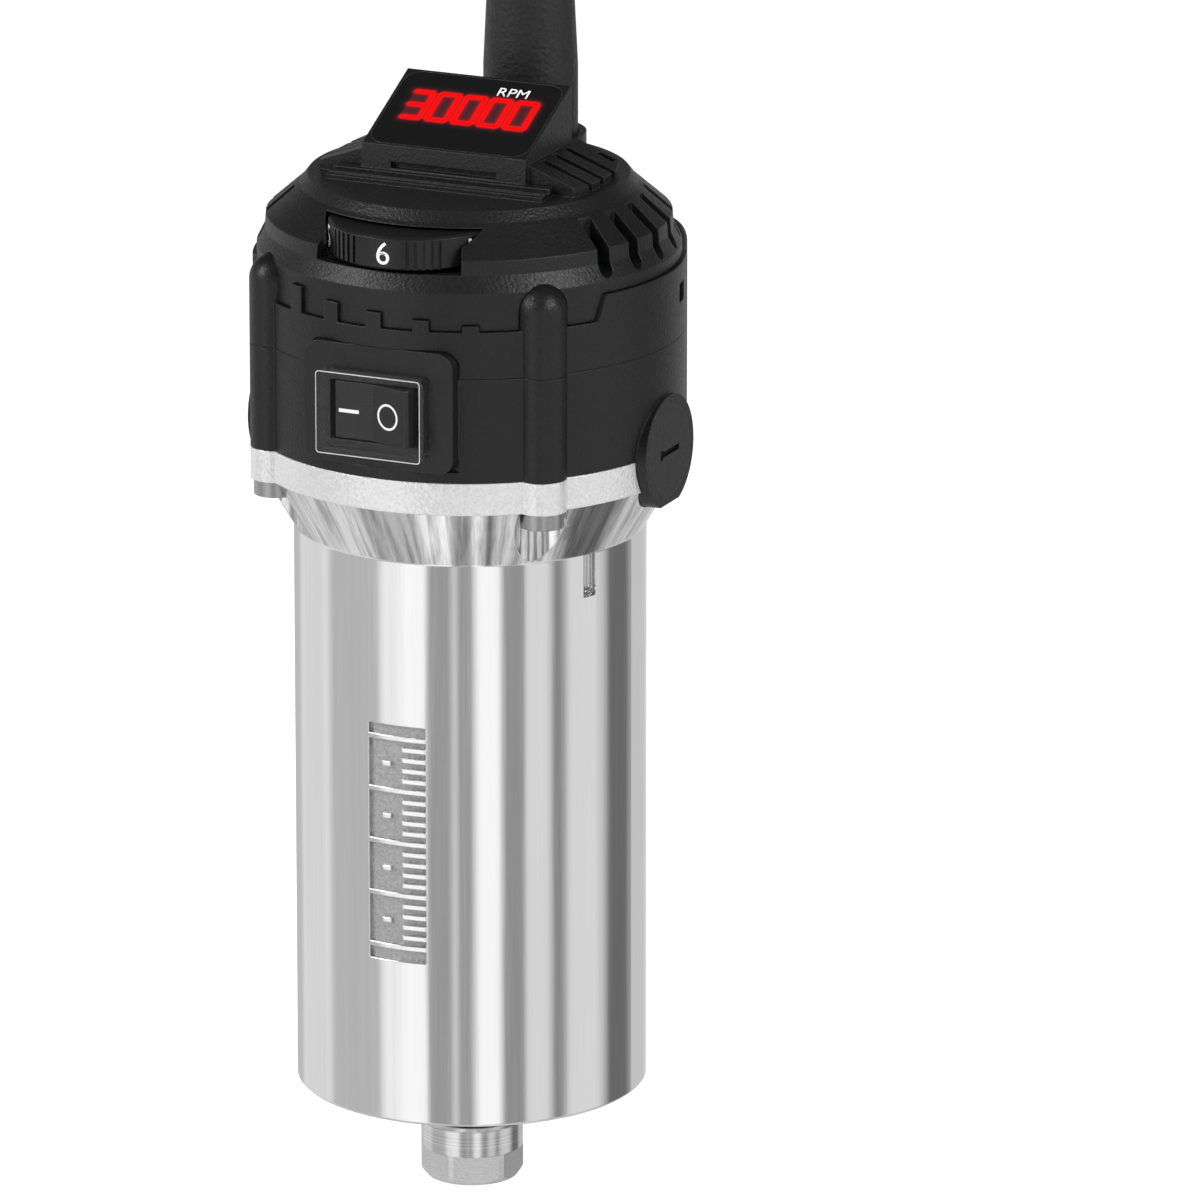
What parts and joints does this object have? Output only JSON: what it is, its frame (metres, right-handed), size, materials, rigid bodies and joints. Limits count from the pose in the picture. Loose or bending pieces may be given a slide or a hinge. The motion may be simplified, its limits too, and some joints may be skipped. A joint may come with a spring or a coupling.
{
  "type": "milling motor spindle",
  "caption": "Hand-size brushed motor spindle with a round clamping body, a collet nose, a rocker switch, a speed dial, a tilted speed read-out and a mains cord.",
  "frame": {"origin": "on the spindle axis at the lower end of the clamping wall", "axes": "+Z along the spindle axis up towards the head, -Y to the front with the switch, dial and read-out, X through the two brush caps"},
  "size_m": [0.1066, 0.1707, 0.3534],
  "materials": {
    "turned_aluminium": "turned, fine rings, bright",
    "zinc_steel": "zinc plated",
    "black_screw": "dark zinc plated pan head",
    "bearing_steel": "ground and polished",
    "ground_steel": "ground",
    "nickel_nut": "nickel plated",
    "spring_steel": "drawn wire",
    "laminations": "stacked sheets, varnished",
    "copper_wire": "enamelled copper wire",
    "copper_bar": "turned copper",
    "brass": "drawn brass",
    "phenolic": "moulded phenolic",
    "ferrite": "bonded magnet",
    "carbon": "pressed carbon",
    "black_nylon": "glass filled nylon",
    "black_shell": "satin black moulding",
    "black_cap": "satin black moulding",
    "black_gloss": "smooth black moulding",
    "black_dial": "satin black moulding with white numbers",
    "clear_cover": "clear flexible moulding",
    "smoked_lens": "dark glossy window",
    "circuit_board": "green laminate",
    "black_rubber": "fine grained rubber",
    "cord_sheath": "smooth round sheath"
  },
  "bodies": {
    "housing": {"clamp_body": "turned_aluminium", "bearing_retainer": "zinc_steel", "retainer_screws": "zinc_steel", "housing_screws": "black_screw", "front_bearing_outer_ring": "bearing_steel", "rear_bearing_outer_ring": "bearing_steel", "bearing_washer": "zinc_steel", "fan_baffle": "black_nylon", "stator_core": "laminations", "field_coils": "copper_wire", "brush_holder_left": "brass", "brush_holder_right": "brass", "brush_spring_left": "spring_steel", "brush_spring_right": "spring_steel", "brush_housing": "black_shell", "middle_ring": "black_shell", "top_cap": "black_shell", "switch_body": "black_gloss", "switch_terminals": "brass", "switch_cover": "clear_cover", "dial_potentiometer": "black_nylon", "control_board": "circuit_board", "board_screws": "zinc_steel", "display_lens": "smoked_lens", "digit_module": "black_gloss", "display_board": "circuit_board", "cord_strap": "black_nylon", "strap_screws": "zinc_steel", "cord_boot": "black_rubber", "cord_inner_end": "cord_sheath", "power_cord": "cord_sheath", "cord_hank": "cord_sheath", "cord_tie": "black_nylon", "cord_tail": "cord_sheath", "plug_body": "black_rubber", "plug_blades": "brass"},
    "spindle": {"spindle_shaft": "ground_steel", "front_bearing_inner_ring": "bearing_steel", "rear_bearing_inner_ring": "bearing_steel", "cooling_fan": "black_nylon", "armature_core": "laminations", "armature_windings": "copper_wire", "commutator_hub": "phenolic", "commutator_bars": "copper_bar", "speed_magnet": "ferrite"},
    "front_cage": {"front_bearing_cage": "black_nylon", "front_bearing_balls": "bearing_steel"},
    "rear_cage": {"rear_bearing_cage": "black_nylon", "rear_bearing_balls": "bearing_steel"},
    "collet": {"collet": "ground_steel"},
    "nut": {"collet_nut": "nickel_nut"},
    "rocker": {"switch_rocker": "black_gloss"},
    "dial": {"speed_dial": "black_dial", "pot_shaft": "zinc_steel"},
    "brush_left": {"carbon_brush_left": "carbon"},
    "brush_right": {"carbon_brush_right": "carbon"},
    "terminal_left": {"spring_terminal_left": "brass"},
    "terminal_right": {"spring_terminal_right": "brass"},
    "cap_left": {"brush_cap_left": "black_cap"},
    "cap_right": {"brush_cap_right": "black_cap"}
  },
  "joints": [
    {"name": "spindle_spin", "type": "hinge", "parent": "housing", "child": "spindle", "pos_m": [0, 0, 0.007], "axis": [0, 0, 1], "continuous": true},
    {"name": "front_cage_turn", "type": "hinge", "parent": "housing", "child": "front_cage", "pos_m": [0, 0, 0.007], "axis": [0, 0, 1], "continuous": true},
    {"name": "rear_cage_turn", "type": "hinge", "parent": "housing", "child": "rear_cage", "pos_m": [0, 0, 0.1421], "axis": [0, 0, 1], "continuous": true},
    {"name": "collet_release", "type": "slide", "parent": "spindle", "child": "collet", "axis": [0, 0, -1], "range_m": [0, 0.003]},
    {"name": "nut_turn", "type": "hinge", "parent": "collet", "child": "nut", "pos_m": [0, 0, -0.0145], "axis": [0, 0, -1], "range_deg": [0, 1440]},
    {"name": "rocker_tilt", "type": "hinge", "parent": "housing", "child": "rocker", "pos_m": [0, -0.0384, 0.1373], "axis": [0, 0, 1], "range_deg": [0, 17]},
    {"name": "dial_turn", "type": "hinge", "parent": "housing", "child": "dial", "pos_m": [0, -0.0229, 0.167], "axis": [0, 0, 1], "range_deg": [0, 300]},
    {"name": "brush_feed_left", "type": "slide", "parent": "housing", "child": "brush_left", "axis": [-1, 0, 0], "range_m": [0, 0.006], "stiffness_N_per_m": 250, "springref_m": -0.01, "deforming": ["brush_spring_left"]},
    {"name": "cap_lift_left", "type": "slide", "parent": "housing", "child": "terminal_left", "axis": [-1, 0, 0], "range_m": [0, 0.003]},
    {"name": "cap_turn_left", "type": "hinge", "parent": "terminal_left", "child": "cap_left", "pos_m": [-0.0392, 0, 0.1244], "axis": [-1, 0, 0], "range_deg": [0, 1080]},
    {"name": "brush_feed_right", "type": "slide", "parent": "housing", "child": "brush_right", "axis": [1, 0, 0], "range_m": [0, 0.006], "stiffness_N_per_m": 250, "springref_m": -0.01, "deforming": ["brush_spring_right"]},
    {"name": "cap_lift_right", "type": "slide", "parent": "housing", "child": "terminal_right", "axis": [1, 0, 0], "range_m": [0, 0.003]},
    {"name": "cap_turn_right", "type": "hinge", "parent": "terminal_right", "child": "cap_right", "pos_m": [0.0392, 0, 0.1244], "axis": [1, 0, 0], "range_deg": [0, 1080]}
  ],
  "couplings": [
    {"joint": "front_cage_turn", "follows": "spindle_spin", "ratio": 0.3987},
    {"joint": "rear_cage_turn", "follows": "spindle_spin", "ratio": 0.368},
    {"joint": "nut_turn", "follows": "collet_release", "rad_per_m": 8376.7},
    {"joint": "cap_turn_left", "follows": "cap_lift_left", "rad_per_m": 6282.6},
    {"joint": "cap_turn_right", "follows": "cap_lift_right", "rad_per_m": 6282.6}
  ]
}
